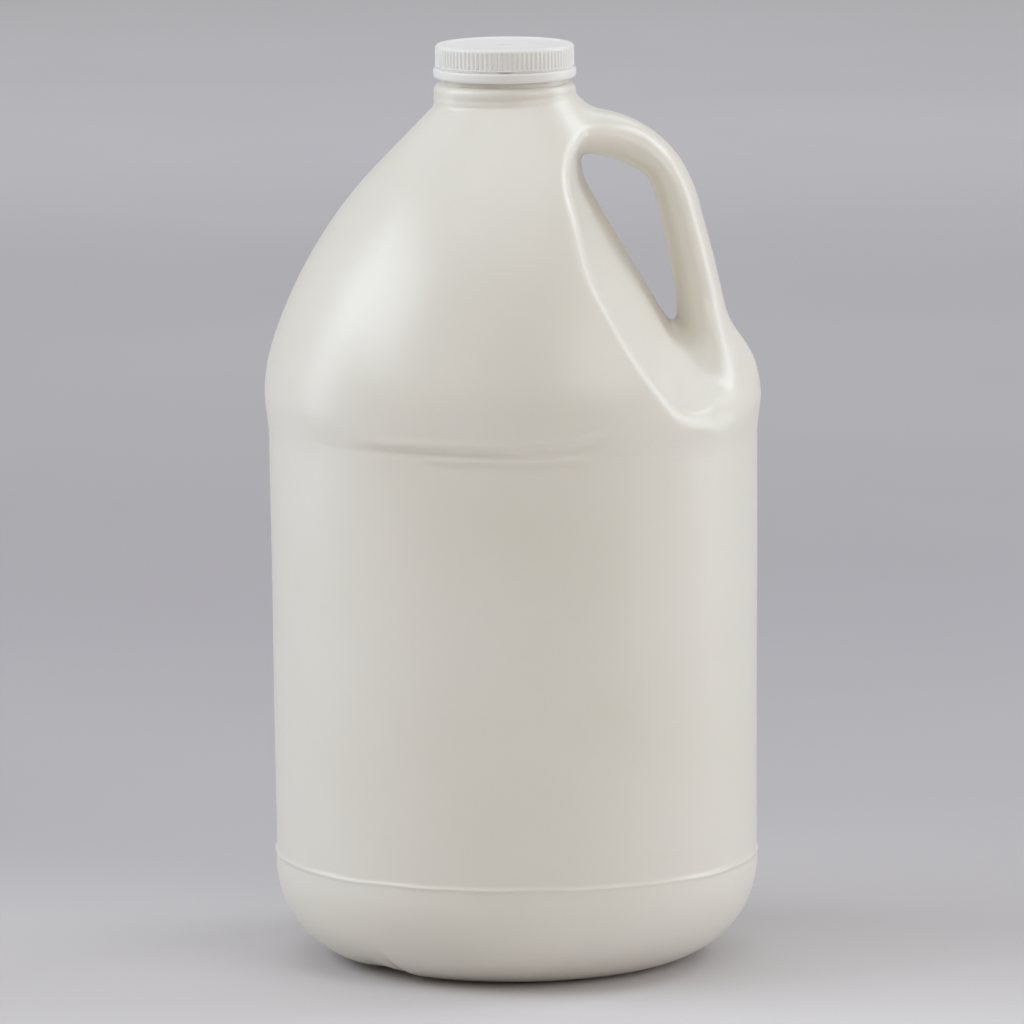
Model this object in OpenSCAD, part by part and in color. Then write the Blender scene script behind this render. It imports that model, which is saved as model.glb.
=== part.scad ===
// One-gallon milk jug: a round, shut, blow-moulded bottle with a loop handle,
// a ribbed screw cap and the cap's tamper band. Millimetres, +Z up.
// The origin is the middle of the base, on the surface that the jug stands on.
// The handle points along +X, and the mould's parting plane is y = 0.

/* [Body] */
// Largest diameter of the jug, over the shoulder bead
shoulder_d = 155; // [140:1:175]
// Height of the shoulder bead's widest line
shoulder_z = 178; // [150:1:205]
// Radius of the shoulder bead above its widest line
shoulder_r = 50; // [42:1:55]
// Angle that the shoulder bead turns through before the dome begins
shoulder_turn = 17; // [14:1:20]
// Radius of the dome's long curve
dome_r = 140; // [125:1:155]
// Lean of the dome's straight top, away from upright
dome_lean = 44.5; // [42:0.5:47]
// Step from the shoulder's widest line in to the top of the label panel
panel_top_step = 1.4; // [0.8:0.1:3]
// Step from the shoulder's widest line in to the bottom of the label panel
panel_bottom_step = 2.3; // [1.8:0.1:4]
// Fall from the shoulder's widest line to the crease over the label panel
crease_drop = 11; // [8:0.5:20]
// Height of the lower bead
bead_z = 34; // [31:1:50]
// Step from the shoulder's widest line in to the lower bead
bead_step = 1.7; // [0.8:0.1:3]
// Height of the lower bead's rounded band
bead_h = 5; // [3:0.5:8]

/* [Base] */
// Radius of the heel that turns from the wall into the base
heel_r = 30; // [20:1:31]
// Width of the flat ring that the jug stands on
foot_w = 8; // [5:1:12]
// Rise of the base's middle above the standing ring
pushup_h = 5; // [3:0.5:8]
// Depth of the registration notch in the heel
notch_depth = 0.9; // [0.4:0.1:1.5]
// Direction of the registration notch, from +X
notch_angle = 235; // [180:1:300]

/* [Neck] */
// Diameter of the mouth tube inside the cap
mouth_d = 37.6; // [31:0.1:45.2]
// Thickness from the mouth tube out to the neck's wall
neck_wall = 3.25; // [2.6:0.05:4]
// Height of the neck's wall above the dome
neck_h = 8.8; // [6:0.1:12]
// Distance of the neck's axis from the body's, away from the handle
neck_shift = 1.7; // [0:0.1:3]
// Rounding of the neck's top edge
neck_round = 1.5; // [0.8:0.1:2]
// Depth of the shallow groove round the neck
groove_depth = 0.5; // [0.2:0.1:0.8]
// Height of the shallow groove round the neck
groove_h = 3; // [2:0.1:4]
// Running gap between the mouth tube and what sits round it
mouth_gap = 0.3; // [0.2:0.05:0.5]

/* [Cap] */
// Thickness of the cap's skirt, out to its ribs
cap_wall = 2.55; // [2:0.05:3]
// Height of the cap's skirt and top
cap_h = 6.8; // [5:0.1:10]
// Thickness of the cap's top
cap_top_t = 1.6; // [1.2:0.1:2.4]
// Rounding of the cap's top edge
cap_round = 1.1; // [0.6:0.1:1.4]
// Number of grip ribs round the skirt
rib_count = 90; // [60:1:120]
// Depth of the grooves between the ribs
rib_depth = 0.35; // [0.2:0.05:0.5]
// Height of the plain strip below the ribs
rib_foot_h = 0.5; // [0.3:0.1:1]
// Step from the cap's rim in to the faces of the ribs
rib_step = 0.05; // [0.02:0.01:0.2]
// Depth of the sunk disc in the cap's top
top_sink = 0.3; // [0.1:0.05:0.5]
// Width of the raised rim round the sunk disc
top_rim_w = 2.6; // [2:0.1:4]

/* [Tamper band] */
// Thickness of the tamper band
band_wall = 3.1; // [2.6:0.05:3.6]
// Height of the tamper band
band_h = 3.2; // [2.4:0.1:5]
// Rounding of the tamper band's edges
band_round = 1.1; // [0.5:0.1:1.4]
// Width of the slit between the band and the cap
slit_h = 0.5; // [0.3:0.1:0.8]
// Number of small bridges across the slit
bridge_count = 12; // [6:1:20]
// Width of each bridge
bridge_w = 1.2; // [0.8:0.1:2]
// Distance of the bridges' faces inside the cap's ribs
bridge_inset = 0.7; // [0.5:0.1:1.5]

/* [Handle] */
// Thickness of the handle's bar, seen from the side
bar_t = 13.4; // [10:0.1:16]
// Width of the handle's bar, seen from behind
bar_w = 24; // [18:0.5:28]
// Radius of the handle's bend, on its middle line
bend_r = 32.4; // [28:0.2:36]
// Reach of the bend's top, on its middle line, from the body's axis
bend_x = 21.2; // [19:0.2:26]
// Fall of the middle line's top below the neck's top edge
bend_drop = 16.4; // [15:0.2:20]
// Lean of the handle's bar, away from upright
bar_lean = 12; // [9:0.5:15]
// Width of the handle where it leaves the neck
root_w = 36; // [28:1:42]
// Thickening of the handle's half section where it leaves the neck
root_extra_t = 1.2; // [0:0.1:2]
// Thickness of the handle's foot on the shoulder
foot_t = 25; // [20:1:27]
// Width of the handle's foot on the shoulder
foot_spread = 68; // [50:1:76]
// Height of the handle's foot above the shoulder's widest line
foot_h = 10; // [6:1:14]
// Height over which the bar widens into the foot
flare_h = 19; // [14:1:26]

/* [Handle recess] */
// Distance of the recess from the body's axis, at the height of the bend's middle line
recess_x = 17.6; // [15:0.2:24]
// Lean of the recess, away from upright
recess_lean = 28.7; // [25:0.1:31]
// Angle that each side of the recess falls back
recess_turn = 10.5; // [7:0.5:14]
// Radius at the bottom of the recess
recess_r = 22; // [12:1:26]
// Rise of the recess's roof under the handle's root, away from level
recess_roof = 27; // [20:1:40]
// Fall of the recess's ledge below the shoulder's widest line
ledge_drop = 1; // [0:0.5:4]

/* [Hidden] */
arc_step = 3;              // angle between points of a curve
oval_sides = 20;           // sides of the handle's oval section
round_fn = 96;             // sides of a preview circle
over = 1;                  // how far a cutter runs past what it cuts
root_start_x = 4;          // start of the handle's middle line, inside the dome
root_end = 0.95;           // share of the straight start up to its last section
root_taper = 0.3;          // share of the root's widening that is lost before the bend
panel_end = 4;             // height of the plain strip between the panel and the crease
foot_sink = 5;             // how far the handle's foot runs down inside the shoulder
recess_rise = 2;           // rise of the recess's upper corner over the bar's underside
rim_strip_h = 0.3;         // plain strip between the ribs and the cap's rounded edge
bridge_root = 0.2;         // how far a bridge sinks into the tamper band

// The neck, the cap and the tamper band all sit round the mouth tube
mouth_r = mouth_d / 2;
neck_r = mouth_r + neck_wall;
bore_r = mouth_r + mouth_gap;
cap_r = bore_r + cap_wall;
band_r = bore_r + band_wall;

// The label panel and the lower bead stand a small step inside the shoulder
shoulder_half = shoulder_d / 2;
panel_top_r = shoulder_half - panel_top_step;
panel_bottom_r = shoulder_half - panel_bottom_step;
bead_r = shoulder_half - bead_step;
crease_z = shoulder_z - crease_drop;

// Middles of the shoulder's and the dome's arcs, and where the dome turns straight
shoulder_mid = [shoulder_half - shoulder_r, shoulder_z];
dome_mid = shoulder_mid + (shoulder_r - dome_r) * [cos(shoulder_turn), sin(shoulder_turn)];
dome_end = dome_mid + dome_r * [cos(dome_lean), sin(dome_lean)];
// The neck's wall meets the straight top on the side away from the handle
neck_foot_z = dome_end[1] + (dome_end[0] - neck_r - neck_shift) / tan(dome_lean);
neck_top_z = neck_foot_z + neck_h;
cone_top_r = neck_r - neck_shift - over;
cone_top_z = dome_end[1] + (dome_end[0] - cone_top_r) / tan(dome_lean);
// The cap's top rests on the mouth's rim
band_top_z = neck_top_z + band_h;
cap_bottom_z = band_top_z + slit_h;
cap_top_z = cap_bottom_z + cap_h;
mouth_z = cap_top_z - cap_top_t;
// The handle's middle line: a straight start, a bend, and a straight bar down to the shoulder
bend_mid = [bend_x, neck_top_z - bend_drop - bend_r];
bar_start = bend_mid + bend_r * [cos(bar_lean), sin(bar_lean)];
bar_drop = bar_start[1] - shoulder_z - foot_h;
bar_end = bar_start + bar_drop * [tan(bar_lean), -1];
// The recess's line runs through its upper corner and falls outwards
recess_top = [recess_x, neck_top_z - bend_drop - bar_t / 2 + recess_rise];
ledge_z = shoulder_z - ledge_drop;
recess_foot_x = recess_top[0] + (recess_top[1] - ledge_z) * tan(recess_lean);

// Points of an arc about mid, from angle a0 to angle a1
function arc(mid, r, a0, a1) =
    let (n = max(2, ceil(abs(a1 - a0) / arc_step)))
    [for (i = [0 : n]) let (a = a0 + (a1 - a0) * i / n) mid + r * [cos(a), sin(a)]];

// A value that moves smoothly from 0 to 1 as t does
function ease(t) = let (u = min(1, max(0, t))) u * u * (3 - 2 * u);

// Half outline of the body from the base's middle up to the top of the dome
function push_up() =
    let (rim = bead_r - heel_r - foot_w)
    [for (i = [0 : 8]) let (t = i / 8) [rim * t, pushup_h * (1 - ease(t))]];
function bead() =
    [for (i = [-4 : 4])
        let (t = i / 4, wall = bead_r - (bead_r - panel_bottom_r) * ease(t))
        [wall, bead_z + t * bead_h / 2]];
function shoulder_fall() =
    [for (i = [0 : 8])
        let (t = i / 8)
        [panel_top_r + panel_top_step * sin(90 * t),
         crease_z + (shoulder_z - crease_z) * t]];
body_outline = concat(
    push_up(),
    arc([bead_r - heel_r, heel_r], heel_r, -90, 0),
    bead(),
    [[panel_top_r, crease_z - panel_end]],
    shoulder_fall(),
    arc(shoulder_mid, shoulder_r, arc_step, shoulder_turn),
    arc(dome_mid, dome_r, shoulder_turn + arc_step, dome_lean),
    [[cone_top_r, cone_top_z], [0, cone_top_z]]);

// The neck's wall, its shallow groove, its rounded top edge and the mouth tube
neck_outline = concat(
    [[0, dome_end[1]], [neck_r, dome_end[1]], [neck_r, neck_foot_z + over]],
    [for (i = [1 : 5])
        let (t = i / 5)
        [neck_r - groove_depth * sin(180 * t), neck_foot_z + over + groove_h * t]],
    arc([neck_r - neck_round, neck_top_z - neck_round], neck_round, 0, 90),
    [[mouth_r, neck_top_z], [mouth_r, mouth_z], [0, mouth_z]]);

// Side outline of the recess cutter, with a round bottom that runs out over the ledge
module recess_outline() {
    turn = 90 - recess_lean;
    tangent = recess_r * tan(turn / 2);
    mid = [recess_foot_x + tangent, ledge_z + recess_r];
    bottom = arc(mid, recess_r, 270 - turn, 270);
    roof_z = recess_top[1] + (shoulder_d - recess_top[0]) * tan(recess_roof);
    outline = concat(
        [recess_top],
        bottom,
        [[shoulder_d, ledge_z], [shoulder_d, roof_z]]);
    polygon([for (p = outline) [p[0] * cos(recess_turn), p[1]]]);
}

// One side of the recess: a long prism that falls back by recess_turn
module recess_side(turn) {
    rotate([0, 0, turn])
        rotate([90, 0, 0])
            linear_extrude(height = 2 * shoulder_d, center = true)
                recess_outline();
}

// Stations of the handle: [x, z, lean of the section, half thickness, half width]
function root_stations() =
    [for (i = [0 : 5])
        let (t = i / 5, half_w = bar_w / 2 + (root_w - bar_w) / 2 * (1 - root_taper * t))
        [root_start_x + (bend_x - root_start_x) * t * root_end,
         neck_top_z - bend_drop, 90, bar_t / 2 + root_extra_t * (1 - t), half_w]];
function bend_stations() =
    let (n = 14, turn = 90 - bar_lean)
    [for (i = [0 : n])
        let (t = i / n, a = 90 - turn * t, mid = bend_mid + bend_r * [cos(a), sin(a)])
        [mid[0], mid[1], a, bar_t / 2,
         bar_w / 2 + (root_w - bar_w) / 2 * (1 - root_taper) * (1 - ease(2 * t))]];
function bar_half_w(z) =
    let (top = bar_end[1] + flare_h)
    bar_w / 2 + (foot_spread - bar_w) / 2 * ease((top - z) / (top - ledge_z));
function bar_stations() =
    let (n = 14)
    [for (i = [1 : n])
        let (fall = bar_drop * i / n, flare = ease(1 - (bar_drop - fall) / flare_h))
        [bar_start[0] + fall * tan(bar_lean), bar_start[1] - fall, bar_lean * (1 - flare),
         bar_t / 2 + (foot_t - bar_t) / 2 * flare, bar_half_w(bar_start[1] - fall)]];
function foot_stations() =
    let (n = 4, base_z = ledge_z - foot_sink)
    [for (i = [1 : n])
        let (z = bar_end[1] + (base_z - bar_end[1]) * i / n)
        [bar_end[0], z, 0, foot_t / 2, bar_half_w(z)]];
stations = concat(root_stations(), bend_stations(), bar_stations(), foot_stations());

// A tube through the stations, with an oval section at each
module handle_tube() {
    rings = len(stations);
    points = [for (s = stations) for (k = [0 : oval_sides - 1])
        let (a = 360 * (k + 0.5) / oval_sides, u = s[3] * cos(a), v = s[4] * sin(a))
        [s[0] + u * cos(s[2]), v, s[1] + u * sin(s[2])]];
    sides = [for (j = [0 : rings - 2]) for (k = [0 : oval_sides - 1])
        let (k2 = (k + 1) % oval_sides, a = j * oval_sides, b = (j + 1) * oval_sides)
        each [[a + k, a + k2, b + k], [a + k2, b + k2, b + k]]];
    start = [for (k = [oval_sides - 1 : -1 : 0]) k];
    finish = [for (k = [0 : oval_sides - 1]) (rings - 1) * oval_sides + k];
    polyhedron(points, concat(sides, [start, finish]), convexity = 6);
}

// A small dent in the heel that turned the bottle the right way on the filling line
module notch() {
    ball_r = 8;
    slant = 45;
    reach = heel_r + ball_r - notch_depth;
    rotate([0, 0, notch_angle])
        translate([bead_r - heel_r + reach * cos(slant), 0, heel_r - reach * sin(slant)])
            sphere(r = ball_r, $fn = 48);
}

module jug() {
    color("ivory")
        union() {
            difference() {
                rotate_extrude($fn = round_fn) polygon(body_outline);
                recess_side(recess_turn);
                recess_side(-recess_turn);
                notch();
            }
            handle_tube();
            translate([-neck_shift, 0, 0])
                rotate_extrude($fn = round_fn) polygon(neck_outline);
        }
}

// Outline of the ribbed skirt: a flat rib and a flat groove, rib_count times
module rib_outline() {
    pitch = 360 / rib_count;
    polygon([for (i = [0 : rib_count - 1])
        each [for (k = [0 : 3])
            let (r = cap_r - rib_step - (k < 2 ? 0 : rib_depth), a = pitch * (i + (k + 0.5) / 4))
            r * [cos(a), sin(a)]]]);
}

module cap() {
    rim_z = cap_top_z - cap_round - rim_strip_h;
    dish_r = cap_r - top_rim_w;
    top_outline = concat(
        [[0, rim_z], [cap_r, rim_z]],
        arc([cap_r - cap_round, cap_top_z - cap_round], cap_round, 0, 90),
        [[dish_r, cap_top_z], [dish_r - top_sink, cap_top_z - top_sink], [0, cap_top_z - top_sink]]);
    color("whitesmoke")
        translate([-neck_shift, 0, 0])
            difference() {
                union() {
                    rotate_extrude($fn = round_fn) polygon(top_outline);
                    translate([0, 0, cap_bottom_z + rib_foot_h])
                        linear_extrude(height = rim_z - cap_bottom_z - rib_foot_h) rib_outline();
                    translate([0, 0, cap_bottom_z])
                        cylinder(r = cap_r - 2 * rib_step, h = rib_foot_h, $fn = round_fn);
                }
                translate([0, 0, cap_bottom_z - over])
                    cylinder(r = bore_r, h = mouth_z - cap_bottom_z + over, $fn = round_fn);
            }
}

module tamper_band() {
    edge = min(band_round, band_h / 2 - bridge_root);
    bridge_r = cap_r - bridge_inset;
    band_outline = concat(
        [[bore_r, neck_top_z]],
        arc([band_r - edge, neck_top_z + edge], edge, -90, 0),
        arc([band_r - edge, band_top_z - edge], edge, 0, 90),
        [[bore_r, band_top_z]]);
    color("whitesmoke")
        translate([-neck_shift, 0, 0])
            union() {
                rotate_extrude($fn = round_fn) polygon(band_outline);
                for (i = [0 : bridge_count - 1])
                    rotate([0, 0, 360 * i / bridge_count])
                        translate([bore_r, -bridge_w / 2, band_top_z - bridge_root])
                            cube([bridge_r - bore_r, bridge_w, slit_h + bridge_root]);
            }
}

jug();
cap();
tamper_band();
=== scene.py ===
# %% [markdown]
# # A one-gallon milk jug
#
# This lesson dresses a ready-made frame: a round handled jug, its screw cap and its tamper band.
# The real jug is blow-moulded. A soft tube of polyethylene is pinched between two halves of a mould
# and blown out against them, so its ridges are rounded, its wall is a little uneven and a fine seam
# runs round it where the halves meet. We load the frame first and keep its size: whatever we model
# has to stay inside that box.

# %% Load the frame
import itertools
import math

import bpy
import numpy as np
from mathutils import Matrix, Vector


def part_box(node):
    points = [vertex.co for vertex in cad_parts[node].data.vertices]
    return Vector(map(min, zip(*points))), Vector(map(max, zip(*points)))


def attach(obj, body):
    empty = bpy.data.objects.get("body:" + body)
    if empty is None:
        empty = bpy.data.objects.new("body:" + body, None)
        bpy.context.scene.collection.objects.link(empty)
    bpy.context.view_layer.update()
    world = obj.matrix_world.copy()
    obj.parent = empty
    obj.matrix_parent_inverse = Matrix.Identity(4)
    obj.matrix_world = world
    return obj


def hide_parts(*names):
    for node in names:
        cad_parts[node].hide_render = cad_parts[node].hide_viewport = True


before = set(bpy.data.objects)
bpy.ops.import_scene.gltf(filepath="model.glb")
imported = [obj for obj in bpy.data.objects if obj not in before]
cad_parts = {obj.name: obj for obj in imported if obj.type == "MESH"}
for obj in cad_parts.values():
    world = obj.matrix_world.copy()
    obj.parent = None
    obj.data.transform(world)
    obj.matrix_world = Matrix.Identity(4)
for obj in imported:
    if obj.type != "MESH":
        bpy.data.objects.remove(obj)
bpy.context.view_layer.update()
MM = 0.001
jug_low, jug_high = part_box("jug")
cap_low, cap_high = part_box("cap")
band_low, band_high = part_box("tamper_band")
print("frame:", sorted(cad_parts), "height", round(cap_high.z / MM, 2), "mm")

# %% [markdown]
# ## Driving sizes
#
# All the modelling below is done in millimetres, in the frame's own axes: +Z is up and the handle
# points along +X. The heights and widths come from the frame's boxes. What the boxes can't say,
# such as how far the shoulder turns before the dome starts, is a named value. The names end in
# _r for a radius, _z for a height above the floor, _x for a place along the handle's axis, and
# _h, _w or _t for a height, width or thickness.

# %% Sizes in millimetres
stay_inside = 0.01
shoulder_r = -jug_low.x / MM - stay_inside
neck_top_z = band_low.z / MM
neck_mid_x = (band_low.x + band_high.x) / 2 / MM
cap_bottom_z, cap_top_z = cap_low.z / MM, cap_high.z / MM
cap_r = (cap_high.x - cap_low.x) / 2 / MM
band_r = (band_high.y - band_low.y) / 2 / MM
mouth_top_z = jug_high.z / MM
neck_r, mouth_r = 22.05, 18.8
shoulder_z = 178.0
shoulder_bend_r, shoulder_turn = 50.0, math.radians(17)
dome_bend_r, dome_lean = 140.0, math.radians(44.5)
crease_z, panel_top_r, panel_low_r = 167.0, 76.1, 75.2
bead_z, bead_r, heel_r = 34.0, 75.8, 30.0
below_bead_r = bead_r - 0.4
foot_w, push_up_h = 8.0, 5.0
print("neck axis at x =", round(neck_mid_x, 2), "mm, neck top at z =", round(neck_top_z, 2), "mm")

# %% [markdown]
# ## The body as a field
#
# The body is nearly a turned shape, but the handle grows out of it with soft fillets, which no
# lathe profile or boolean gives. So the jug is described as a field: a function of x, y and z
# that is negative inside the plastic and positive outside. Two fields are joined with a smooth
# minimum, which leaves a fillet, and cut with a smooth maximum, which leaves a rounded edge.
# That is very close to what blown plastic does at the edges of its mould. Two more helpers fade
# things in: ease climbs softly from 0 to 1, and bump is 1 at one place and falls off beside it.

# %% Helpers for fields
def smooth_min(a, b, k):
    h = np.clip(0.5 + 0.5 * (b - a) / k, 0, 1)
    return b + (a - b) * h - k * h * (1 - h)


def smooth_max(a, b, k):
    return -smooth_min(-a, -b, k)


def ease(t):
    t = np.clip(t, 0, 1)
    return t * t * (3 - 2 * t)


def bump(x, mid, width):
    return np.exp(-((x - mid) / width) ** 2)


# %% [markdown]
# ## The turned outline
#
# From the bottom: a heel of one round bend, a small bead that marks the foot of the label panel,
# a panel that is almost straight, a shoulder that swells out over a crease, and a dome made of two
# bends and a straight cone that ends at the neck. The bends touch without a kink, so each one's
# middle is worked out from the end of the one below.

# %% Radius of the body at each height
shoulder_mid = np.array([shoulder_r - shoulder_bend_r, shoulder_z])
turn_dir = np.array([math.cos(shoulder_turn), math.sin(shoulder_turn)])
lean_dir = np.array([math.cos(dome_lean), math.sin(dome_lean)])
dome_mid = shoulder_mid + (shoulder_bend_r - dome_bend_r) * turn_dir
dome_end = dome_mid + dome_bend_r * lean_dir
dome_start_z = shoulder_z + shoulder_bend_r * math.sin(shoulder_turn)


def plain_radius(z):
    up_panel = np.clip((z - bead_z) / (crease_z - bead_z), 0, 1)
    panel = panel_low_r + (panel_top_r - panel_low_r) * up_panel
    under = (shoulder_z - z) / (shoulder_z - crease_z)
    swell = shoulder_r - (shoulder_r - panel_top_r) * under ** 2
    bend_rise = np.maximum(shoulder_bend_r ** 2 - (z - shoulder_z) ** 2, 0)
    dome_rise = np.maximum(dome_bend_r ** 2 - (z - dome_mid[1]) ** 2, 0)
    cone = dome_end[0] - (z - dome_end[1]) * math.tan(dome_lean)
    return np.select(
        [z < crease_z, z < shoulder_z, z < dome_start_z, z < dome_end[1]],
        [panel, swell, shoulder_mid[0] + np.sqrt(bend_rise), dome_mid[0] + np.sqrt(dome_rise)],
        cone)


print("dome turns straight at z =", round(dome_end[1], 1), "mm, r =", round(dome_end[0], 1), "mm")

# %% [markdown]
# ## The body's field
#
# The gap between a point and the outline is measured level and then shortened by how much the
# outline leans there, which is nearly the true distance from the wall. Below the heel's top the
# field changes to the distance from the heel's bend, and under the jug to the ring it stands on
# and the low push-up inside the ring, which keeps the middle of the base off the table.

# %% Field of the turned body
heel_mid_r = below_bead_r - heel_r
foot_ring_r = heel_mid_r - foot_w
steepest = 1.2


def turned_body(rho, z, radius):
    lean = plain_radius(z + 0.5) - plain_radius(z - 0.5)
    wall = (rho - radius) / np.sqrt(1 + np.clip(lean, -steepest, steepest) ** 2)
    heel = np.hypot(rho - heel_mid_r, heel_r - z) - heel_r
    push_up = push_up_h * (1 - ease(rho / foot_ring_r)) - z
    base = np.where(rho > heel_mid_r, heel, np.where(rho > foot_ring_r, -z, push_up))
    return np.where(z < heel_r, base, wall)


# %% [markdown]
# ## Angles round the jug
#
# Marks on the wall are placed by their angle from the front, in radians: negative to the left,
# positive to the right, towards the handle.

# %% Angle from the front
FRONT = -math.pi / 2


def swing(angle):
    return (angle - FRONT + math.pi) % (2 * math.pi) - math.pi


def between(a, low, high, fade):
    return ease((a - low) / fade) * ease((high - a) / fade)


# %% [markdown]
# ## The crease under the shoulder
#
# Nothing on a blown bottle is perfectly round. The crease under the shoulder wanders up and down,
# and it is crisp at the front and the back but soft at the sides, where the mould opens. Soft is
# made by taking the mean of the outline over a few heights.

# %% A crease that wanders
crease_climb, crease_knot, knot_at, knot_w = 2.8, 1.6, 0.2, 0.22
drift_fade_h, crease_reach_h, shoulder_fade_h = 6, 17, 3
blur_steps = (-5, -3, -1, 1, 3)
crisp_front, crisp_back_from = (-1.1, 0.75, 0.35), 1.7


def crease_drift(a):
    left = crease_climb * ease(-a / 1.1) * ease((a + math.pi) / 1.2)
    return left + crease_knot * bump(a, knot_at, knot_w) - 0.3 + 0.25 * np.sin(4 * a + 1.0)


def wandering_crease(z, a):
    r = plain_radius(z)
    drifted = plain_radius(z - crease_drift(a) * ease((shoulder_z - z) / drift_fade_h))
    blurred = sum(plain_radius(z + step) for step in blur_steps) / len(blur_steps)
    crisp_back = 0.85 * ease((np.abs(a) - crisp_back_from) / 0.5)
    soft = (1 - between(a, *crisp_front)) * (1 - crisp_back)
    drifted = drifted * (1 - soft) + blurred * soft
    near = (z > crease_z - crease_reach_h) & (z < shoulder_z)
    fade = ease((z - shoulder_z + shoulder_fade_h) / shoulder_fade_h)
    return np.where(near, drifted + (r - drifted) * fade, r)


# %% [markdown]
# ## Marks at the front of the crease
#
# At the front the wall has slipped in the mould as it was blown. It has left two shallow grooves,
# one over the other, each with a raised lip above it, and a curled lip where they run out to the
# right. Each mark is a raised bump and a sunk one, faded in and out round the jug. A span is the
# angle where a mark starts, the angle where it ends, and how long it takes to fade.

# %% Grooves and lips
upper_lip_z, upper_groove_z = 171.9, 169.0
lower_lip_z, lower_groove_z = 167.1, 165.0
curl_z, curl_at, curl_steepness, curl_groove_drop = 172.6, 0.16, 55, 2.6
upper_span, lower_span, curl_span = (-0.75, 0.16, 0.3), (-0.42, 0.34, 0.16), (0.0, 0.42, 0.12)


def crease_marks(r, z, a):
    upper, lower = between(a, *upper_span), between(a, *lower_span)
    r = r + upper * (0.50 * bump(z, upper_lip_z, 1.6) - 0.80 * bump(z, upper_groove_z, 1.2))
    r = r + lower * (0.48 * bump(z, lower_lip_z, 0.9) - 0.36 * bump(z, lower_groove_z, 1.2))
    lip_z = curl_z + curl_steepness * (a - curl_at) ** 2
    groove_z = lip_z - curl_groove_drop
    curl = between(a, *curl_span)
    return r + curl * (0.50 * bump(z, lip_z, 1.1) - 0.42 * bump(z, groove_z, 1.3))


# %% [markdown]
# ## The bead and the slow waves
#
# The bead above the heel is a fine raised line that waves a little, and the wall below it is a
# touch narrower. The whole wall also has shallow undulations, a tenth of a millimetre high, that
# show only as a wobble in the reflections.

# %% The bead and the waves
bead_h, bead_w, bead_reach = 0.45, 0.65, 8
long_wave_h, short_wave_h = 0.10, 0.05


def heel_bead(r, z, a):
    line = bead_z - 0.2 + 0.35 * np.cos(3 * a) - 0.5 * np.sin(a)
    line = line + 0.10 * np.sin(11 * a + 1) + 0.08 * np.sin(19 * a)
    above = ease((z - line + 0.6) / 1.2)
    rim = below_bead_r * (1 - above) + r * above
    rim = rim + (bead_h + 0.12 * np.sin(5 * a + 2)) * bump(z, line, bead_w)
    return np.where(np.abs(z - bead_z) < bead_reach, rim, r)


def slow_waves(r, z, a):
    calm = ease((z - 40) / 20) * (1 - bump(z, shoulder_z, 16))
    r = r + long_wave_h * calm * np.sin(3 * a + z / 31.0) * np.sin(z / 23.0 + 1.0)
    return r + short_wave_h * calm * np.sin(9 * a - z / 17.0)


def uneven_radius(z, angle):
    a = swing(angle)
    return slow_waves(heel_bead(crease_marks(wandering_crease(z, a), z, a), z, a), z, a)


# %% [markdown]
# ## The recess behind the handle
#
# Seen from above, the dome is cut back on the handle's side by two nearly flat faces that meet in a
# blunt nose. The faces lean with the dome and run out above the shoulder on a ledge. Under the
# handle the ledge swells up to meet the handle's foot. A roof closes the recess under the handle's
# root. One field holds all of it: positive in the air that the recess takes away.

# %% The recess
nose_x, nose_z, nose_top_x = 16.2, 255.4, 21.6
nose_top_half_w, nose_spread, nose_blunt, side_blunt = 3.0, 9.5, 2.0, 2.5
nose_fall, upper_side_fall, lower_side_fall = 0.11, 0.135, 0.055
recess_lean = math.radians(30.1)
ledge_z, ledge_rise, ledge_dip, ledge_round = shoulder_z + 1.5, 0.62, 0.07, 5.0
swell_h, swell_w, swell_flare = 16.4, 3.1, 0.42
swell_top_half_w, swell_side_w, deepest = 4, 52, 30
roof_z, roof_rise, roof_scale, roof_round = nose_z + 1.0, 0.5, 0.9, 6.0


def recess_face(y, z):
    away = np.sqrt(y * y + nose_blunt ** 2) - nose_blunt
    nose_half_w = nose_top_half_w + nose_spread * ease((236 - z) / 36)
    past = np.maximum(away - nose_half_w, 0)
    past = past * past / (past + side_blunt)
    side_fall = nose_fall + upper_side_fall * ease((248 - z) / 32)
    side_fall = side_fall - lower_side_fall * ease((205 - z) / 30)
    nose = smooth_max(nose_x + (nose_z - z) * math.tan(recess_lean), nose_top_x + 0 * z, 3.0)
    return nose - nose_fall * (away - past) - side_fall * past


def recess_ledge(x, y, z):
    depth = shoulder_r - np.hypot(x, y)
    under_handle = 1 - ease((np.abs(y) - swell_top_half_w) / swell_side_w)
    width = swell_w + swell_flare * np.maximum(np.abs(y) - 3, 0)
    swell = swell_h * (1 - np.exp(-np.maximum(depth, 0) / width))
    plain = ledge_rise * np.minimum(depth, deepest)
    rise = under_handle * swell + (1 - under_handle) * plain
    steep = under_handle * (swell_h - swell) / width + (1 - under_handle) * ledge_rise
    return (z - (ledge_z - ledge_dip * np.abs(y)) - rise) / np.hypot(1, steep)


def recess(x, y, z):
    face = (x - recess_face(y, z)) * math.cos(recess_lean)
    roof = roof_z + roof_rise * (x - nose_x) - z
    open_side = smooth_min(face, recess_ledge(x, y, z), ledge_round)
    return smooth_min(open_side, roof * roof_scale, roof_round)


# %% [markdown]
# ## The handle's middle line
#
# The handle follows a straight start, one bend and a straight bar that leans out by 12 degrees.
# For a point in space we find how far along that line it lies, and how far outside or inside of
# the line it is.

# %% Along the handle
bend_r, bend_x, bend_drop = 32.4, 21.2, 16.4
bar_lean = math.radians(12)
bend_mid = np.array([bend_x, neck_top_z - bend_drop - bend_r])
bar_start = bend_mid + bend_r * np.array([math.cos(bar_lean), math.sin(bar_lean)])
bar_dir = np.array([math.sin(bar_lean), -math.cos(bar_lean)])
bend_len = bend_r * (math.pi / 2 - bar_lean)


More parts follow.
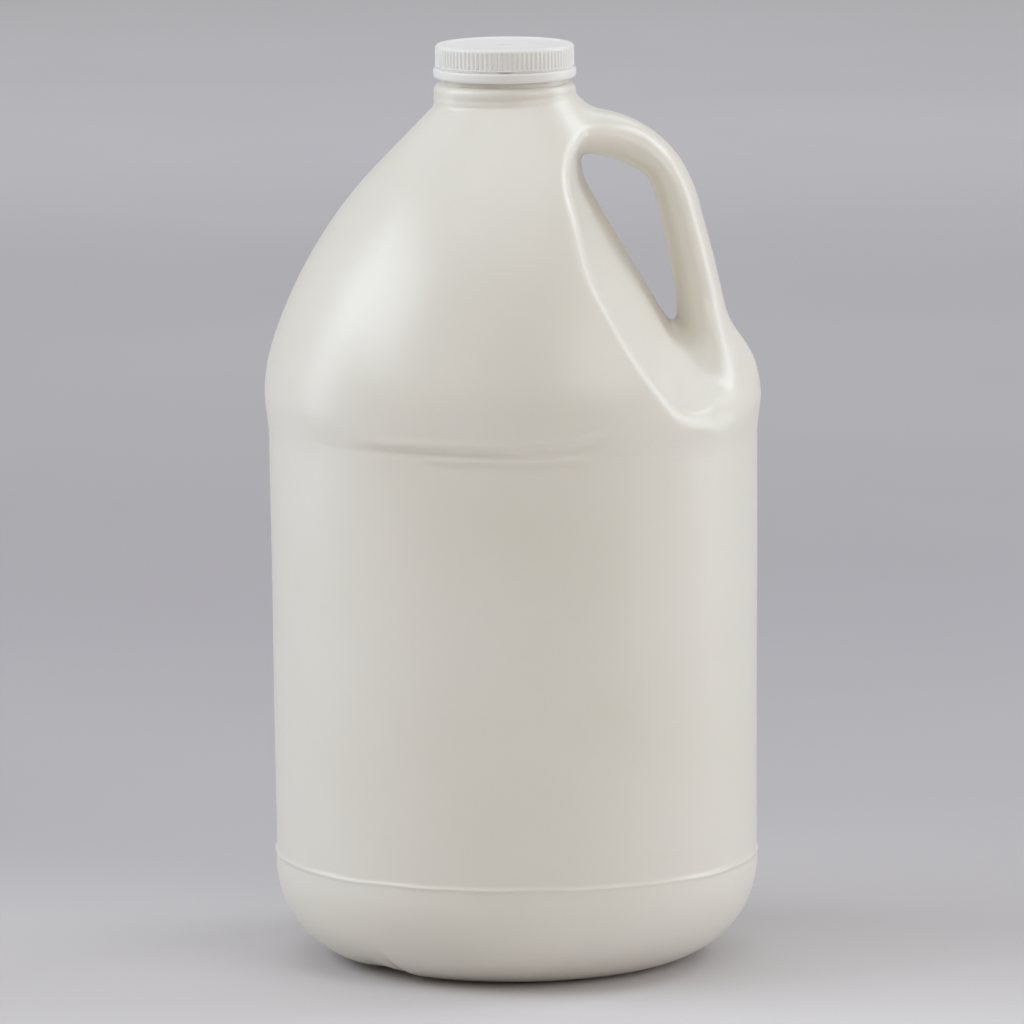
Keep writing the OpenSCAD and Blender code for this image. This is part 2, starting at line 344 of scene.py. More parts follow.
def along_handle(x, z):
    dx, dz = x - bend_mid[0], z - bend_mid[1]
    bx, bz = x - bar_start[0], z - bar_start[1]
    down_bar = bx * bar_dir[0] + bz * bar_dir[1]
    on_start, on_bar = (dx < 0) & (dz > -5), down_bar > 0
    bent_s, bent_off = bend_r * np.arctan2(dx, dz), np.hypot(dx, dz) - bend_r
    s = np.where(on_start, dx, np.where(on_bar, bend_len + down_bar, bent_s))
    bar_off = bz * bar_dir[0] - bx * bar_dir[1]
    return s, np.where(on_start, dz - bend_r, np.where(on_bar, bar_off, bent_off))


print("handle bend", round(bend_len, 1), "mm long, bar from z =", round(bar_start[1], 1), "mm")

# %% [markdown]
# ## The handle's section
#
# Across that line the handle is an oval. It is wide at the root and at the foot, pinched a little
# in the bend, and thicker inwards down the bar. The distance from an oval has no plain formula,
# so the usual estimate is used: how far out the point is, over how fast that changes.

# %% The handle
bar_half_t, bar_half_w = 6.75, 10.6
root_half_w, root_len, root_sink = 18.0, 22.0, 0.45
foot_half_t, foot_half_w, foot_sink = 11.0, 24.0, 1.5
inner_pinch, inner_pinch_at, inner_pinch_len = 1.7, 28, 7.5
outer_pinch, outer_pinch_at, outer_pinch_len = 0.85, 42, 13
inner_growth, growth_from, growth_len = 1.0, bend_len + 20.0, 10.0
foot_from, foot_len, spread_from, spread_len = bend_len + 30.5, 25.0, bend_len + 26.0, 30.0
handle_end_z, handle_end_x = 176, -14


def handle(x, y, z):
    s, off = along_handle(x, z)
    root = 1 - ease((s + 2) / root_len)
    inner = inner_pinch * bump(s, inner_pinch_at, inner_pinch_len)
    outer = outer_pinch * bump(s, outer_pinch_at, outer_pinch_len)
    foot, spread = ease((s - foot_from) / foot_len), ease((s - spread_from) / spread_len)
    thicker = inner_growth * ease((s - growth_from) / growth_len)
    half_t = bar_half_t + 0.3 * root + (thicker - inner - outer) / 2
    half_t = half_t + (foot_half_t - bar_half_t) * foot
    half_w = bar_half_w + (root_half_w - bar_half_w) * root + (foot_half_w - bar_half_w) * spread
    off = off + root_sink * root + (thicker - inner + outer) / 2 + foot_sink * foot * foot
    out = np.sqrt((off / half_t) ** 2 + (y / half_w) ** 2) + 1e-6
    rate = np.sqrt((off / half_t ** 2) ** 2 + (y / half_w ** 2) ** 2) + 1e-6
    tube = out * (out - 1) / rate
    return np.maximum(tube, np.maximum(handle_end_z - z, handle_end_x - x))


# %% [markdown]
# ## The neck and mouth
#
# The neck stands a little off the body's axis, away from the handle. Two soft grooves run round it
# under its rounded rim, deepest at the front. Inside the band and the cap a plain tube carries on
# up to the mouth.

# %% The neck and mouth
rim_edge, rim_gap, tube_wider = 2.2, 1.5, 1.0
upper_dip_h, upper_dip_drop, lower_dip_h, lower_dip_drop = 0.42, 5.2, 0.5, 8.0
neck_foot_z, tube_foot_z = 250, 262


def neck(x, y, z):
    rho = np.hypot(x - neck_mid_x, y)
    a = swing(np.arctan2(y, x - neck_mid_x))
    front = 0.3 + 0.7 * ease((0.9 - np.abs(a + 0.05)) / 0.7)
    upper_dip_z = neck_top_z - upper_dip_drop + 0.4 * np.sin(2 * a)
    dip = upper_dip_h * front * bump(z, upper_dip_z, 0.9)
    dip = dip + lower_dip_h * front * bump(z, neck_top_z - lower_dip_drop, 1.0)
    side, top = rho - (neck_r - dip) + rim_edge, z - (neck_top_z - rim_gap - rim_edge)
    corner = np.hypot(np.maximum(side, 0), np.maximum(top, 0))
    collar = corner + np.minimum(np.maximum(side, top), 0) - rim_edge
    tube = np.maximum(rho - mouth_r - tube_wider * (z < neck_top_z), z - mouth_top_z)
    return np.minimum(np.maximum(collar, neck_foot_z - z), np.maximum(tube, tube_foot_z - z))


# %% [markdown]
# ## The notch in the heel
#
# A small dent in the heel, with a flatter patch beside it, turns the bottle the right way round on
# the filling line. Its depth is added to the field, which sinks the surface by as much.

# %% The notch
notch_angle, notch_lean = math.radians(230.5), math.radians(56)
notch_t, notch_w, notch_len = 1.5, 1.9, 5.0
flat_t, flat_at, flat_w, flat_top_z = 1.2, -9, 9, 16
notch_mid_r = heel_mid_r + heel_r * math.cos(notch_lean)
notch_mid_z = heel_r - heel_r * math.sin(notch_lean)


def notch(x, y, z):
    mid_x, mid_y = notch_mid_r * math.cos(notch_angle), notch_mid_r * math.sin(notch_angle)
    side = (x - mid_x) * -math.sin(notch_angle) + (y - mid_y) * math.cos(notch_angle)
    dent = notch_t * bump(side, 0, notch_w) * bump(z - notch_mid_z, 0, notch_len)
    dent = dent * ease((28 - z) / 8)
    return dent + flat_t * bump(side, flat_at, flat_w) * ease((flat_top_z - z) / 12)


# %% [markdown]
# ## The whole jug in one function
#
# The order matters: the recess is cut from the turned body with a rounded edge, the handle is
# joined to what is left with a fillet, then the neck, and the fine mould seam is raised last. The
# recess's edge is sharper near the handle's outer side and rounder along the ledge. The foot of
# the handle is kept inside the turned body's outline, so that the shoulder stays round there.

# %% The jug's field
ridge_round, ledge_rounder, root_fillet, neck_fillet = 3.2, 4.0, 2.4, 0.9
foot_fillet_low, foot_fillet_high = 0.3, 6
body_top_drop, bar_sink, bar_free_z, root_fillet_z = 5, 0.05, 186, 222
seam_h, seam_w = 0.12, 0.35


def edge_rounding(x, y, z):
    rounding = ridge_round * (1 - 0.6 * ease((x - 62) / 10))
    at_ledge = ledge_rounder * ease((x - 56) / 10) * ease((200 - z) / 12)
    return rounding + at_ledge * ease((np.abs(y) - 12) / 20)


def seam(y, z):
    line = seam_h * bump(y, 0, seam_w) * ease((z - 3) / 6) * ease((neck_top_z - 2 - z) / 4)
    return line * (1 - ease((20 - np.abs(z - shoulder_z)) / 12))


def jug_field(x, y, z):
    body = turned_body(np.hypot(x, y), z, uneven_radius(z, np.arctan2(y, x)))
    body = np.maximum(body, z - (neck_top_z - body_top_drop)) + notch(x, y, z)
    cut_body = smooth_max(body, recess(x, y, z), edge_rounding(x, y, z))
    inside_outline = body + bar_sink - 30 * ease((z - bar_free_z) / 8)
    bar = np.maximum(handle(x, y, z), inside_outline)
    foot_fillet = np.clip(foot_fillet_low - 1.2 * body, foot_fillet_low, foot_fillet_high)
    fillet = foot_fillet + (root_fillet - foot_fillet) * ease((z - root_fillet_z) / 25)
    shell = smooth_min(cut_body, bar, fillet)
    return smooth_min(shell, neck(x, y, z), neck_fillet) - seam(y, z)


# %% [markdown]
# ## Levels of the grid
#
# The field is sampled on a grid in turned coordinates, angle by radius by height, because most of
# the jug is round about the axis. Heights are packed closely round the bead, the crease and the
# neck, and sparsely on the plain panel. Angles are packed closely at the seam and across the
# handle, which stands at angle zero. Each row below is a start, an end and a step.

# %% Angles, radii and heights
def spaced(*spans):
    levels = [np.arange(low, high, step) for low, high, step in spans]
    return np.unique(np.round(np.concatenate(levels), 4))


def angle_levels():
    handle_seam = np.arange(0.1, 1.0, 0.2)
    handle_side, plain_side = np.arange(1.3, 36, 1.0), np.arange(36, 178.9, 1.6)
    far_seam = np.array([179.1, 179.35, 179.6, 179.8, 179.95])
    half = np.concatenate([handle_seam, handle_side, plain_side, far_seam])
    return np.radians(np.concatenate([half, 360 - half[::-1]]))


heel_levels = (-1.6, 30, 1.1), (30, 31.6, 0.8)
bead_levels = (31.6, 37, 0.3), (37, 44, 1.4)
panel_levels = (44, 158, 4.4), (158, 161, 1.0)
upper_levels = (161, 177, 0.55), (177, 262, 1.5), (262, 278, 0.5), (278, mouth_top_z + 3, 1.5)
heights = spaced(*heel_levels, *bead_levels, *panel_levels, *upper_levels)
radii = np.arange(2.2, 81, 1.35)
angles = angle_levels()
print("grid:", len(angles), "angles,", len(radii), "radii,", len(heights), "heights")

# %% [markdown]
# ## From field to points
#
# Where the field changes sign along a line of the grid, the surface crosses that line, and the two
# values at its ends say where. Every cell of the grid that the surface passes through gets one
# point, the mean of the crossings on the cell's twelve edges. This is called surface nets.

# %% One point for each crossed cell
def along(axis, values):
    shape = [1, 1, 1]
    shape[axis] = len(values)
    return values.reshape(shape)


def line_ends(F, axis):
    n = F.shape[axis]
    return np.take(F, range(n - 1), axis), np.take(F, range(1, n), axis)


def net_points(grid, F):
    cells = tuple(n - 1 for n in F.shape)
    total, sums = np.zeros(cells), [np.zeros(cells) for _ in grid]
    for axis in range(3):
        f0, f1 = line_ends(F, axis)
        crossed = (f0 < 0) != (f1 < 0)
        t = np.where(crossed, f0 / np.where(crossed, f0 - f1, 1), 0)
        place = along(axis, grid[axis][:-1]) + along(axis, np.diff(grid[axis])) * t
        one, other = (k for k in range(3) if k != axis)
        for near, far in itertools.product((0, 1), repeat=2):
            edge = [slice(None)] * 3
            edge[one] = slice(near, cells[one] + near)
            edge[other] = slice(far, cells[other] + far)
            hit = crossed[tuple(edge)]
            total += hit
            sums[axis] += np.where(hit, place[tuple(edge)], 0)
            for k, shift in ((one, near), (other, far)):
                sums[k] += np.where(hit, along(k, grid[k][shift:shift + cells[k]]), 0)
    has = total > 0
    index = np.full(cells, -1)
    index[has] = np.arange(has.sum())
    turn, r, z = (s[has] / total[has] for s in sums)
    return index, np.stack([r * np.cos(turn), r * np.sin(turn), z], 1)


# %% [markdown]
# ## From points to faces
#
# Every line of the grid that the surface crosses has four cells round it, and their points make
# one four-sided face. The angle runs right round, so cell numbers wrap there. Where the plastic is
# at the line's lower end the corners are taken backwards, so that all faces look outwards.

# %% One face for each crossed line
def net_faces(F, index):
    cells, faces = index.shape, []
    for axis, (u, v) in enumerate(((1, 2), (2, 0), (0, 1))):
        low_in, high_in = line_ends(F < 0, axis)
        lines = np.argwhere(low_in != high_in)
        fits = np.ones(len(lines), bool)
        for k in (u, v):
            fits &= lines[:, k] < cells[k]
            if k != 0:
                fits &= lines[:, k] > 0
        lines = lines[fits]
        corners = []
        for du, dv in ((0, 0), (1, 0), (1, 1), (0, 1)):
            cell = lines.copy()
            cell[:, u] -= du
            cell[:, v] -= dv
            cell[:, 0] %= cells[0]
            corners.append(index[tuple(cell.T)])
        quads = np.stack(corners, 1)
        flip = low_in[tuple(lines.T)]
        quads[flip] = quads[flip][:, ::-1]
        faces.append(quads)
    return np.concatenate(faces)


def surface_nets(angles, radii, heights, field):
    A, R, Z = np.meshgrid(angles, radii, heights, indexing="ij")
    F = field(R * np.cos(A), R * np.sin(A), Z)
    F = np.concatenate([F, F[:1]], axis=0)
    full_turn = np.concatenate([angles, angles[:1] + 2 * np.pi])
    index, points = net_points((full_turn, radii, heights), F)
    return points, net_faces(F, index)


points, faces = surface_nets(angles, radii, heights, jug_field)
print("jug nets:", len(points), "points,", len(faces), "faces")

# %% [markdown]
# ## Settling and closing
#
# The points are slid along the field's slope until they lie on the surface. The turned grid stops
# a little short of the axis, so it leaves a small round opening in the middle of the base and of
# the mouth. Both places are flat, so a fan of triangles closes each one.

# %% Settle and close
middle_z, least_slope = 100, 0.05


def slope(field, p, h=0.15):
    g = np.empty_like(p)
    for k in range(3):
        step = np.zeros(3)
        step[k] = h
        g[:, k] = (field(*(p + step).T) - field(*(p - step).T)) / (2 * h)
    return g


def settle(field, p, rounds=5):
    for _ in range(rounds):
        g = slope(field, p)
        p = p - (field(*p.T) / np.maximum((g * g).sum(1), least_slope))[:, None] * g
    return p


def close_openings(points, faces):
    edges = np.concatenate([faces[:, [k, (k + 1) % 4]] for k in range(4)])
    keys = edges[:, 0] * (len(points) + 1) + edges[:, 1]
    back = edges[:, 1] * (len(points) + 1) + edges[:, 0]
    open_edges = edges[~np.isin(back, keys)]
    fans = []
    for upper in (True, False):
        ring = open_edges[(points[open_edges[:, 0], 2] > middle_z) == upper]
        points = np.concatenate([points, points[ring[:, 0]].mean(0)[None]])
        fans.append(np.column_stack([ring[:, 1], ring[:, 0], np.full(len(ring), len(points) - 1)]))
    return points, np.concatenate(fans)


points = settle(jug_field, points)
points, fans = close_openings(points, faces)
off_by = np.abs(jug_field(*points[:-2].T))
print("closed with", len(fans), "triangles, mean miss", round(float(off_by.mean()), 5), "mm")

# %% [markdown]
# ## The jug's mesh
#
# The shading normals come from the field's slope and not from the faces, which keeps the long
# reflections clean even where the faces are large. The same helper builds every piece below: it
# takes millimetres and stores metres.

# %% Build the jug
def add_piece(name, points, face_lists, normals=None):
    mesh = bpy.data.meshes.new(name)
    all_faces = [face for faces in face_lists for face in faces.tolist()]
    mesh.from_pydata((points * MM).tolist(), [], all_faces)
    mesh.update()
    mesh.polygons.foreach_set("use_smooth", [True] * len(mesh.polygons))
    if normals is not None:
        mesh.normals_split_custom_set_from_vertices(normals.tolist())
    piece = bpy.data.objects.new(name, mesh)
    bpy.context.scene.collection.objects.link(piece)
    return piece


normals = slope(jug_field, points, 0.12)
normals /= np.maximum(np.linalg.norm(normals, axis=1), 1e-9)[:, None]
jug = add_piece("jug_skin", points, [faces, fans], normals)
print("jug skin:", len(jug.data.vertices), "points")

# %% [markdown]
# ## The cap and its band
#
# The cap is injection-moulded polypropylene: a shallow cup with grip ribs round its skirt and a
# raised rim round its top. The band below is what is left of the same moulding when a knife
# has slit it nearly through: twelve small bridges still hold the two together. Both are turned
# shapes, so one helper spins an outline of radius and height round the neck's axis. A second
# function, of the angle, pushes the skirt in to make the ribs.

# %% Turning helper
def arc(mid_r, mid_z, radius, start, end, steps):
    turn = np.radians(np.linspace(start, end, steps + 1))
    return [(mid_r + radius * math.cos(t), mid_z + radius * math.sin(t)) for t in turn]


def spun(name, outline, steps, push):
    outline = np.array(outline)
    count = len(outline)
    turn = np.arange(steps) * 2 * math.pi / steps
    r = np.repeat(outline[None, :, 0], steps, 0)
    z = np.repeat(outline[None, :, 1], steps, 0)
    r = r - push(turn[:, None], r, z)
    x = neck_mid_x + r * np.cos(turn)[:, None]
    y = r * np.sin(turn)[:, None]
    points = np.stack([x, y, z], 2).reshape(-1, 3)
    i, j = np.meshgrid(np.arange(steps), np.arange(count), indexing="ij")
    i2, j2 = (i + 1) % steps, (j + 1) % count
    faces = np.stack([i * count + j, i2 * count + j, i2 * count + j2, i * count + j2], 2)
    return add_piece(name, points, [faces.reshape(-1, 4)])


# %% [markdown]
# ## Ribs
#
# Ninety ribs stand round the skirt. A real mould cuts them with a small round-nosed tool, so
# the ribs have flat tops and rounded grooves between them, and they fade out into the cap's
# rounded top edge. Only points on the outside of the skirt are pushed in. The outline starts
# 0.4 mm off the axis, which leaves a pinhole where a real cap has the mark of its moulding.

# %% The cap
rib_count, rib_depth, rib_foot_h, rib_sharpness = 90, 0.38, 0.3, 1.6
skirt_inset, steps_per_rib = 0.05, 10
cap_edge, cap_top_t, sunk, rim_w, small_round = 1.15, 1.6, 0.3, 2.6, 0.2
bore_r, middle_r = 19.1, 0.4


def rib_push(turn, r, z):
    groove = (0.5 + 0.5 * np.cos(rib_count * turn)) ** rib_sharpness
    low = ease((z - cap_bottom_z - rib_foot_h) / 0.25)
    high = ease((cap_top_z - 0.75 - z) / 0.9)
    outside = ease((r - (cap_r - 0.9)) / 0.5)
    return rib_depth * groove * low * high * outside + skirt_inset * low * outside


rib_foot_levels, skirt_levels = [0.35, 0.5, 0.6, 0.7, 0.85, 1.1], np.arange(1.6, 5.6, 0.5)
wall_levels = np.concatenate([rib_foot_levels, skirt_levels])
sunk_z, rim_start_r = cap_top_z - sunk, cap_r - rim_w
cap_outline = (
    [(middle_r, sunk_z)]
    + [(t, sunk_z) for t in np.linspace(3, rim_start_r - 0.7, 8)]
    + arc(rim_start_r + 0.1, cap_top_z - 0.35, 0.35, 150, 90, 3)
    + [(rim_start_r + 0.9, cap_top_z)]
    + arc(cap_r - cap_edge, cap_top_z - cap_edge, cap_edge, 90, 0, 8)
    + [(cap_r, cap_bottom_z + level) for level in wall_levels[::-1]]
    + arc(cap_r - small_round, cap_bottom_z + small_round, small_round, 0, -90, 3)
    + [(bore_r + 0.3, cap_bottom_z), (bore_r, cap_bottom_z + 0.3)]
    + [(bore_r, cap_top_z - cap_top_t), (middle_r, cap_top_z - cap_top_t)])
cap = spun("cap_ribbed", cap_outline[::-1], rib_count * steps_per_rib, rib_push)
print("cap:", len(cap.data.polygons), "faces,", rib_count, "ribs")

# %% [markdown]
# ## The band
#
# The band bulges, because a ring of small catches inside it grips the neck. Over it runs the web,
# a thin ring that the knife has only scored: it closes the gap up to the cap. In two places, to
# the right and at the front, the knife went through and the slit stands open, so the web is pushed
# in there.

# %% The tamper band
band_lift, band_h, band_edge, band_top_edge = 0.02, 3.2, 1.1, 0.75
band_top_z = neck_top_z + band_h
web_r = cap_r - 0.14
slit_depth, right_slit_w, front_slit_w = 0.9, 0.14, 0.07
band_outline = (
    [(bore_r, neck_top_z + band_lift)]
    + arc(band_r - band_edge, neck_top_z + band_edge + band_lift, band_edge, -90, 0, 7)
    + arc(band_r - band_top_edge, band_top_z - band_top_edge, band_top_edge, 0, 90, 6)
    + [(web_r, band_top_z), (web_r, cap_bottom_z), (bore_r, cap_bottom_z)])


def open_slit(turn, r, z):
    full = 2 * math.pi
    right = bump(turn, 0.0, right_slit_w) + bump(turn, full, right_slit_w)
    front = bump(turn, FRONT + full, front_slit_w)
    return np.where(np.abs(r - web_r) < 0.01, slit_depth * (right + front), 0)


band = spun("band_ring", band_outline, 240, open_slit)
print("band:", len(band.data.polygons), "faces")

# %% [markdown]
# ## The bridges
#
# The bridges are short blocks that run from the band's top edge up to the cap, a little inside
# the ribs. They show where the slit stands open. Each is a plain box turned to its place.

# %% Twelve bridges
bridge_count, bridge_w = 12, 1.2


def add_bridges(name):
    inner, outer = bore_r + 0.4, cap_r - 0.75
    low, high = band_top_z - 0.2, cap_bottom_z
    corners = list(itertools.product((inner, outer), (-1, 1), (low, high)))
    sides = [(0, 1, 3, 2), (4, 6, 7, 5), (0, 4, 5, 1), (2, 3, 7, 6), (0, 2, 6, 4), (1, 5, 7, 3)]
    points, faces = [], []
    for k in range(bridge_count):
        a = 2 * math.pi * (k + 0.5) / bridge_count
        for r, s, z in corners:
            across = s * bridge_w / 2
            points.append((neck_mid_x + r * math.cos(a) - across * math.sin(a),
                           r * math.sin(a) + across * math.cos(a), z))
        faces += [[8 * k + c for c in side] for side in sides]
    return add_piece(name, np.array(points), [np.array(faces)])


bridges = add_bridges("band_bridges")
print("bridges:", bridge_count, "of", bridge_w, "mm")

# %% [markdown]
# ## Colours and nodes
#
# Colours are written as the hex values that a paint card would give, and turned to the linear
# values that the renderer works in. One helper adds a node, sets its values and links its inputs.

# %% Colour and node helpers
def linear(hex_value):
    parts = [int(hex_value[k:k + 2], 16) / 255 for k in (1, 3, 5)]
    curve = [c / 12.92 if c <= 0.04045 else ((c + 0.055) / 1.055) ** 2.4 for c in parts]
    return (*curve, 1.0)


def node(tree, kind, settings=None, values=None, links=None):
    made = tree.nodes.new(kind)
    for key, value in (settings or {}).items():
        setattr(made, key, value)
    for key, value in (values or {}).items():
        made.inputs[key].default_value = value
    for key, source in (links or {}).items():
        tree.links.new(source, made.inputs[key])
    return made


def new_material(name):
    material = bpy.data.materials.new(name)
    material.use_nodes = True
    tree = material.node_tree
    tree.nodes.clear()
    return material, tree


def surface(tree, shader):
    node(tree, "ShaderNodeOutputMaterial", links={"Surface": shader.outputs["BSDF"]})


# %% [markdown]
# ## Blow-moulded polyethylene
#
# High-density polyethylene (HDPE) is milky by itself and fairly soft, so it never takes a mirror
# finish: it has a satin shine, broken by slow waves where the wall cooled unevenly. Full of milk
# it looks solid cream. Its index is about 1.54. Light sinks a few millimetres in, which
# softens every edge. Three bumps sit on each other: waves some 30 mm long, faint upright draw
# lines 3.5 mm apart left by the die, and a skin of fine grain, drawn at 1 mm so that it shows
# at all. Noise has a scale of one over its size in metres.

# %% Jug plastic
cream_low, cream_high = "#EAE6DB", "#EEEAE1"
cloud_size, wave_size, draw_size, grain_size = 0.055, 0.030, 0.0035, 0.001
wave_depth, draw_depth, grain_depth = 0.00022, 0.000012, 0.000006


def blow_moulded_hdpe():
    material, tree = new_material("blow_moulded_hdpe")
    place = node(tree, "ShaderNodeTexCoord").outputs["Object"]
    cloud = node(tree, "ShaderNodeTexNoise", values={"Scale": 1 / cloud_size, "Detail": 2.0},
                 links={"Vector": place})
    tint = node(tree, "ShaderNodeValToRGB", links={"Fac": cloud.outputs["Fac"]})
    ramp = tint.color_ramp
    ramp.interpolation = "EASE"
    ramp.elements[0].position, ramp.elements[1].position = 0.2, 0.8
    ramp.elements[0].color, ramp.elements[1].color = linear(cream_low), linear(cream_high)
    slow = node(tree, "ShaderNodeTexNoise", values={"Scale": 1 / wave_size, "Detail": 1.0},
                links={"Vector": place})
    upright = node(tree, "ShaderNodeMapping", values={"Scale": (1.0, 1.0, 0.03)},
                   links={"Vector": place})
    lines = node(tree, "ShaderNodeTexNoise", values={"Scale": 1 / draw_size, "Detail": 2.0},
                 links={"Vector": upright.outputs["Vector"]})
    grain = node(tree, "ShaderNodeTexNoise", values={"Scale": 1 / grain_size, "Detail": 1.0},
                 links={"Vector": place})
    waves = node(tree, "ShaderNodeBump", values={"Strength": 1.0, "Distance": wave_depth},
                 links={"Height": slow.outputs["Fac"]})
    drawn = node(tree, "ShaderNodeBump", values={"Strength": 1.0, "Distance": draw_depth},
                 links={"Height": lines.outputs["Fac"], "Normal": waves.outputs["Normal"]})
    skin = node(tree, "ShaderNodeBump", values={"Strength": 1.0, "Distance": grain_depth},
                links={"Height": grain.outputs["Fac"], "Normal": drawn.outputs["Normal"]})
    rough = node(tree, "ShaderNodeMapRange", values={"To Min": 0.27, "To Max": 0.34},
                 links={"Value": slow.outputs["Fac"]})
    plastic = node(tree, "ShaderNodeBsdfPrincipled",
                   values={"IOR": 1.54, "Subsurface Weight": 0.25, "Subsurface Scale": 0.004,
                           "Subsurface Radius": (1.0, 0.85, 0.65)},
                   links={"Base Color": tint.outputs["Color"],
                          "Roughness": rough.outputs["Result"], "Normal": skin.outputs["Normal"]})
    surface(tree, plastic)
    return material


# %% [markdown]
# ## Injection-moulded polypropylene
#
# The cap is polypropylene (PP), whiter than the jug because it is pigmented, and a touch duller:
# the steel of its mould was spark-eroded, which leaves an even fine grain of about 0.3 mm. Its
# index is about 1.49.

# %% Cap plastic
white_low, white_high = "#EFEDE9", "#F4F2EE"
patch_size, spark_size, spark_depth = 0.008, 0.0003, 0.000006


def injection_moulded_pp():
    material, tree = new_material("injection_moulded_pp")
    place = node(tree, "ShaderNodeTexCoord").outputs["Object"]
    cloud = node(tree, "ShaderNodeTexNoise", values={"Scale": 1 / patch_size, "Detail": 2.0},
                 links={"Vector": place})
    tint = node(tree, "ShaderNodeValToRGB", links={"Fac": cloud.outputs["Fac"]})
    ramp = tint.color_ramp
    ramp.elements[0].color, ramp.elements[1].color = linear(white_low), linear(white_high)
    grain = node(tree, "ShaderNodeTexNoise", values={"Scale": 1 / spark_size, "Detail": 1.0},
                 links={"Vector": place})
    skin = node(tree, "ShaderNodeBump", values={"Strength": 1.0, "Distance": spark_depth},
                links={"Height": grain.outputs["Fac"]})
    rough = node(tree, "ShaderNodeMapRange", values={"To Min": 0.36, "To Max": 0.46},
                 links={"Value": cloud.outputs["Fac"]})
    plastic = node(tree, "ShaderNodeBsdfPrincipled",
                   values={"IOR": 1.49, "Subsurface Weight": 0.15, "Subsurface Scale": 0.0015,
                           "Subsurface Radius": (1.0, 1.0, 0.95)},
                   links={"Base Color": tint.outputs["Color"],
                          "Roughness": rough.outputs["Result"], "Normal": skin.outputs["Normal"]})
    surface(tree, plastic)
    return material


# %% [markdown]
# ## Finishes on their pieces
#
# Nothing moves on a shut jug, so every piece rides on the root. Each one gets the plastic it is
# made of, and the piece of the frame that it stands for is hidden.

# %% Finish each piece
hdpe, pp = blow_moulded_hdpe(), injection_moulded_pp()
for piece, finish, stands_for, slot in (
        (jug, hdpe, "jug", "jug_plastic"), (cap, pp, "cap", "cap_plastic"),
        (band, pp, "tamper_band", "cap_plastic"), (bridges, pp, "tamper_band", "cap_plastic")):
    piece.data.materials.append(finish)
    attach(piece, "root")
    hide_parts(stands_for)
    print(piece.name, "is", finish.name)

# %% [markdown]
# ## A plain studio
#
# The floor is one wide painted board. It runs on so far that a camera that looks down by a few
# degrees sees nothing but floor, from the front, the sides and the back alike, and no horizon
# shows. Its paint is pale round the jug, greyer a metre behind it and pale again far off.

# %% The floor
board_half, fade_from, fade_to = 14.0, -0.3, 3.0
pale_near, pale_far = "#E5E1E1", "#E6E5EB"
greys = (0.17, "#BDB9BB"), (0.29, "#B9B5B9"), (0.55, "#CAC8CC"), (0.8, "#DFDEE4")


def wide_floor():
    ends = (-board_half, board_half)
    points = np.array([(x, y, 0.0) for y in ends for x in ends]) / MM
    return add_piece("painted_board", points, [np.array([(0, 1, 3, 2)])])


def matt_paint():
    material, tree = new_material("matt_board_paint")
    place = node(tree, "ShaderNodeTexCoord").outputs["Object"]
    apart = node(tree, "ShaderNodeSeparateXYZ", links={"Vector": place})
    back = node(tree, "ShaderNodeMapRange", values={"From Min": fade_from, "From Max": fade_to},
                links={"Value": apart.outputs["Y"]})
    cloud = node(tree, "ShaderNodeTexNoise", values={"Scale": 5.0, "Detail": 4.0},
                 links={"Vector": place})
    shade = node(tree, "ShaderNodeValToRGB", links={"Fac": back.outputs["Result"]})
    ramp = shade.color_ramp
    ramp.interpolation = "EASE"
    ramp.elements[0].color, ramp.elements[1].color = linear(pale_near), linear(pale_far)
    for stop, tone in greys:
        ramp.elements.new(stop).color = linear(tone)
    mottle = node(tree, "ShaderNodeMix", {"data_type": "RGBA", "blend_type": "MULTIPLY"},
                  {"Factor": 0.06}, {6: shade.outputs["Color"], 7: cloud.outputs["Fac"]})
    paint = node(tree, "ShaderNodeBsdfPrincipled", values={"Roughness": 0.75},
                 links={"Base Color": mottle.outputs[2]})
    surface(tree, paint)
    return material


board = wide_floor()
board.data.materials.append(matt_paint())
print("floor:", 2 * board_half, "m square")

# %% [markdown]
# ## Light
#
# Soft boxes are large glowing panels. The high one to the left makes the pale window on the dome.
# One to the right and a bit behind lights the handle, one overhead and one in front fill the
# dome and the recess, and two tall strips low at the sides brighten the edges of the round body,
# so that its middle falls a little darker. The last one hangs far behind the jug and lights only
# the floor there. A dim, even, slightly warm sky fills the rest.

# %% Soft boxes and sky
daylight, neutral = "#EAF4FF", "#FFFFFF"
jug_middle, far_floor = (0, 0, 0.15), (0, 2.2, 0)
sky_tint, sky_strength = "#FFF6EA", 0.32


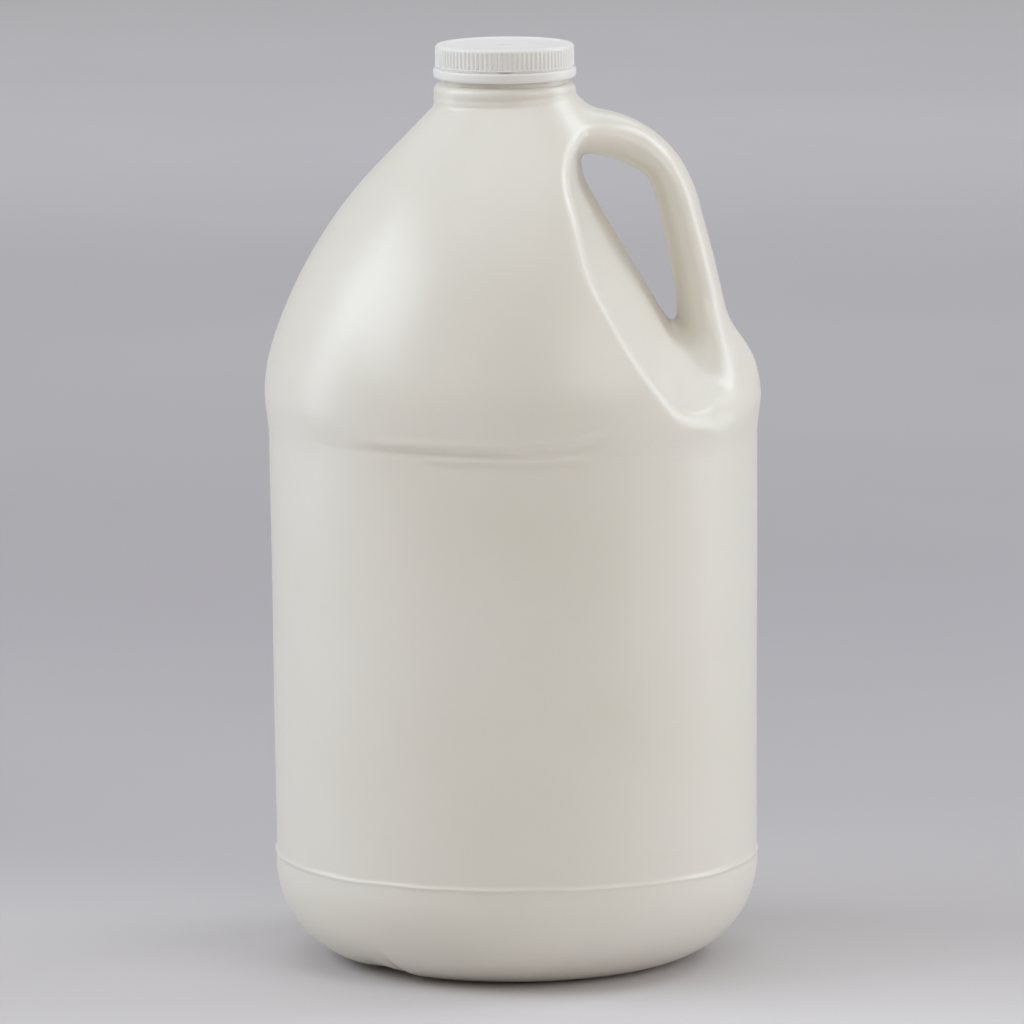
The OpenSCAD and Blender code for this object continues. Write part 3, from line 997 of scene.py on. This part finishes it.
def soft_box(name, turn, rise, distance, size, power, tint, aim=jug_middle):
    lamp = bpy.data.lights.new(name, "AREA")
    lamp.shape, lamp.size, lamp.size_y = "RECTANGLE", size[0], size[1]
    lamp.energy, lamp.color = power, linear(tint)[:3]
    box = bpy.data.objects.new(name, lamp)
    t, e = math.radians(turn), math.radians(rise)
    away = Vector((math.sin(t) * math.cos(e), -math.cos(t) * math.cos(e), math.sin(e)))
    box.location = Vector(aim) + distance * away
    box.rotation_euler = away.to_track_quat("Z", "Y").to_euler()
    bpy.context.scene.collection.objects.link(box)


soft_box("soft_box_left", -82, 36, 1.6, (1.15, 0.7), 9.9, daylight)
soft_box("soft_box_right", 116, 42, 1.7, (0.6, 0.55), 5.4, daylight)
soft_box("soft_box_top", -20, 78, 1.9, (1.4, 1.4), 7.6, daylight)
soft_box("soft_box_front", 45, 25, 2.2, (1.2, 1.2), 8.8, neutral)
soft_box("soft_strip_left", -100, 5, 1.5, (0.6, 1.4), 5.2, daylight)
soft_box("soft_strip_right", 100, 5, 1.5, (0.6, 1.4), 8.4, daylight)
soft_box("soft_box_far", 0, 90, 1.8, (2.4, 1.2), 13.5, daylight, far_floor)
world = bpy.data.worlds.new("studio_air")
bpy.context.scene.world = world
world.use_nodes = True
sky = world.node_tree.nodes["Background"].inputs
sky["Color"].default_value, sky["Strength"].default_value = linear(sky_tint), sky_strength

# %% [markdown]
# ## Camera
#
# A long lens from almost three metres away, looking down by nine degrees, with the camera rolled
# by half a degree, as a hand on a tripod leaves it.

# %% Camera
sensor_w, lens_len, lens_shift = 36.0, 329.9, -0.0020
camera_back, camera_up = 2.898, 0.5936
pitch, roll = math.radians(8.90), math.radians(0.50)
lens = bpy.data.cameras.new("long_lens")
lens.sensor_width, lens.lens, lens.shift_x = sensor_w, lens_len, lens_shift
camera = bpy.data.objects.new("long_lens", lens)
camera.matrix_world = (Matrix.Translation((0, -camera_back, camera_up))
                       @ Matrix.Rotation(math.pi / 2 - pitch, 4, "X")
                       @ Matrix.Rotation(-roll, 4, "Z"))
bpy.context.scene.collection.objects.link(camera)
bpy.context.scene.camera = camera
bpy.context.scene.view_settings.view_transform = "Standard"
print("camera", camera_back, "m in front,", camera_up, "m up")
